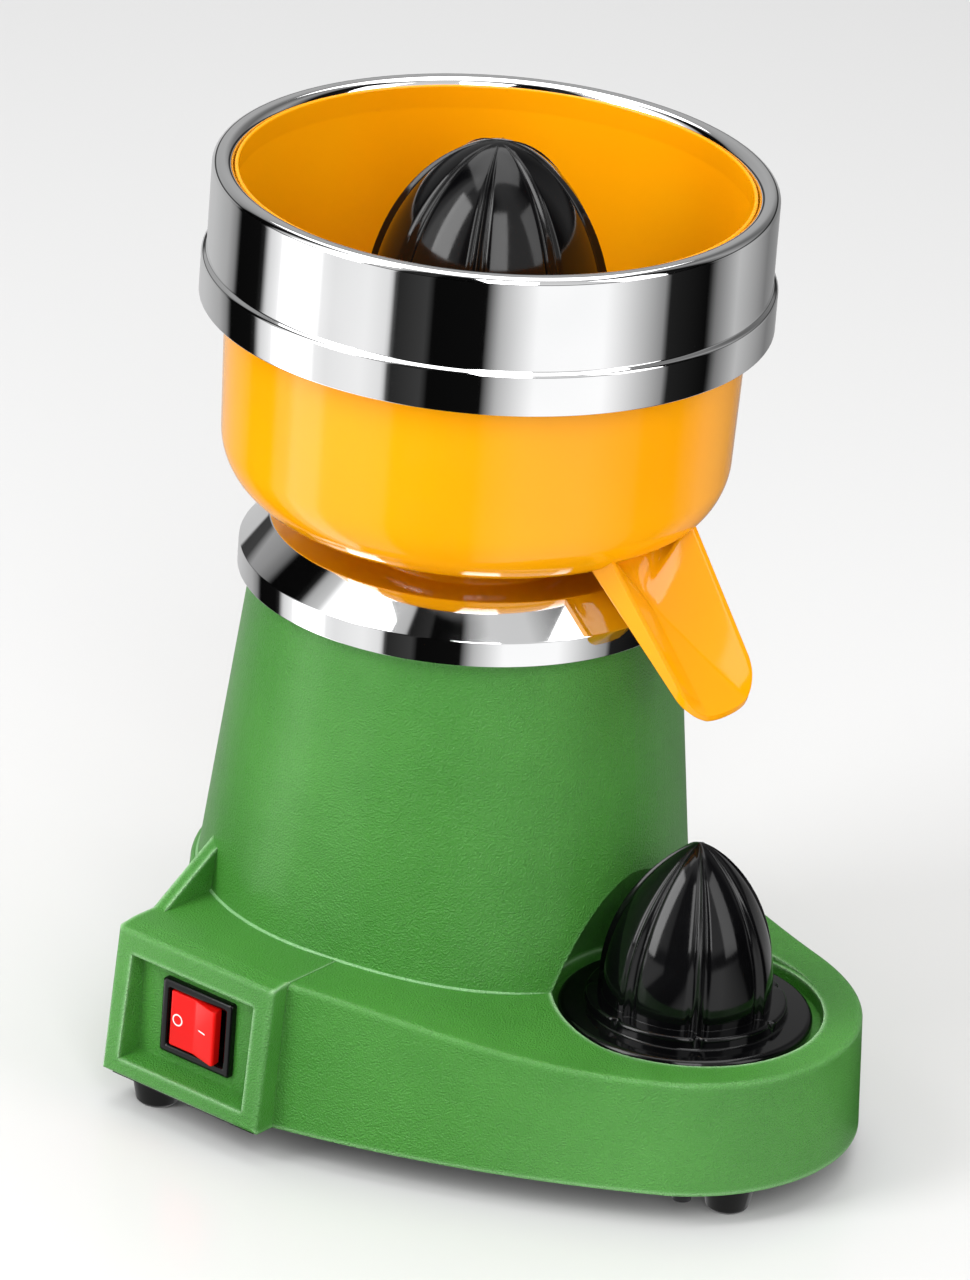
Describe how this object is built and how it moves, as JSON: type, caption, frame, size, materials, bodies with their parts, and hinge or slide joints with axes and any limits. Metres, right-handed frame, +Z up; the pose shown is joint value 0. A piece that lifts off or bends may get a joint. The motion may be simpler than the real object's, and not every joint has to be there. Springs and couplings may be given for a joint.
{
  "type": "electric citrus juicer",
  "caption": "Electric citrus juicer: cast green body with a switch, chrome collar and splash ring, orange bowl with an open spout, ribbed reamer and a spare on the base",
  "frame": {"origin": "On the table, under the middle of the whole machine's box; the drive shaft's axis stands at X -37 mm, Y +12.25 mm.", "axes": "+Z is up, +X runs from the drive shaft to the round end of the base and the spout, -Y is the side with the switch."},
  "size_m": [0.274, 0.2244, 0.344],
  "materials": {
    "green_paint": "green textured enamel on a casting",
    "chrome": "polished chrome",
    "orange_plastic": "glossy moulded orange plastic",
    "black_plastic": "glossy black plastic",
    "red_plastic": "glossy red plastic",
    "black_rubber": "matte black rubber",
    "steel": "bare steel",
    "black_steel": "blackened steel",
    "aluminium": "plain aluminium",
    "copper": "varnished copper and brass",
    "grey_plastic": "matte grey plastic"
  },
  "bodies": {
    "base": {"body_casting": "green_paint", "bottom_plate": "black_plastic", "plate_screws": "black_steel", "rubber_feet": "black_rubber", "upper_end_shield": "aluminium", "lower_end_shield": "aluminium", "stator_core": "steel", "upper_winding": "copper", "lower_winding": "copper", "tie_bolts": "steel", "motor_screws": "steel", "upper_bearing": "steel", "lower_bearing": "steel", "collar_gasket": "black_rubber", "collar": "chrome", "shaft_seal": "black_rubber", "run_capacitor": "aluminium", "capacitor_clip": "steel", "terminal_block": "grey_plastic", "cord_gland": "black_plastic", "gland_nut": "black_plastic", "switch_housing": "black_plastic", "switch_terminals": "copper"},
    "rotor": {"drive_shaft": "steel", "rotor_core": "steel", "cooling_fan": "grey_plastic"},
    "bowl": {"juice_bowl": "orange_plastic"},
    "ring": {"splash_ring": "chrome"},
    "strainer": {"strainer": "steel"},
    "sleeve": {"drive_sleeve": "grey_plastic", "sleeve_clip": "steel"},
    "reamer": {"reamer": "black_plastic"},
    "spare": {"spare_reamer": "black_plastic"},
    "rocker": {"rocker": "red_plastic"}
  },
  "joints": [
    {"name": "rotor_spin", "type": "hinge", "parent": "base", "child": "rotor", "pos_m": [-0.037, 0.01225, 0.12], "axis": [0, 0, 1], "continuous": true},
    {"name": "bowl_lift", "type": "slide", "parent": "base", "child": "bowl", "axis": [0, 0, 1], "range_m": [0, 0.08]},
    {"name": "ring_lift", "type": "slide", "parent": "bowl", "child": "ring", "axis": [0, 0, 1], "range_m": [0, 0.06]},
    {"name": "strainer_lift", "type": "slide", "parent": "bowl", "child": "strainer", "axis": [0, 0, 1], "range_m": [0, 0.06]},
    {"name": "sleeve_spin", "type": "hinge", "parent": "strainer", "child": "sleeve", "pos_m": [-0.037, 0.01225, 0.258], "axis": [0, 0, 1], "continuous": true},
    {"name": "reamer_lift", "type": "slide", "parent": "sleeve", "child": "reamer", "axis": [0, 0, 1], "range_m": [0, 0.05]},
    {"name": "spare_lift", "type": "slide", "parent": "base", "child": "spare", "axis": [0.5, 0, 0.866], "range_m": [0, 0.05]},
    {"name": "rocker_tilt", "type": "hinge", "parent": "base", "child": "rocker", "pos_m": [-0.0505, -0.10025, 0.0382], "axis": [0, 0, 1], "range_deg": [0, 15]}
  ],
  "couplings": [
    {"joint": "sleeve_spin", "follows": "rotor_spin", "ratio": 1}
  ]
}
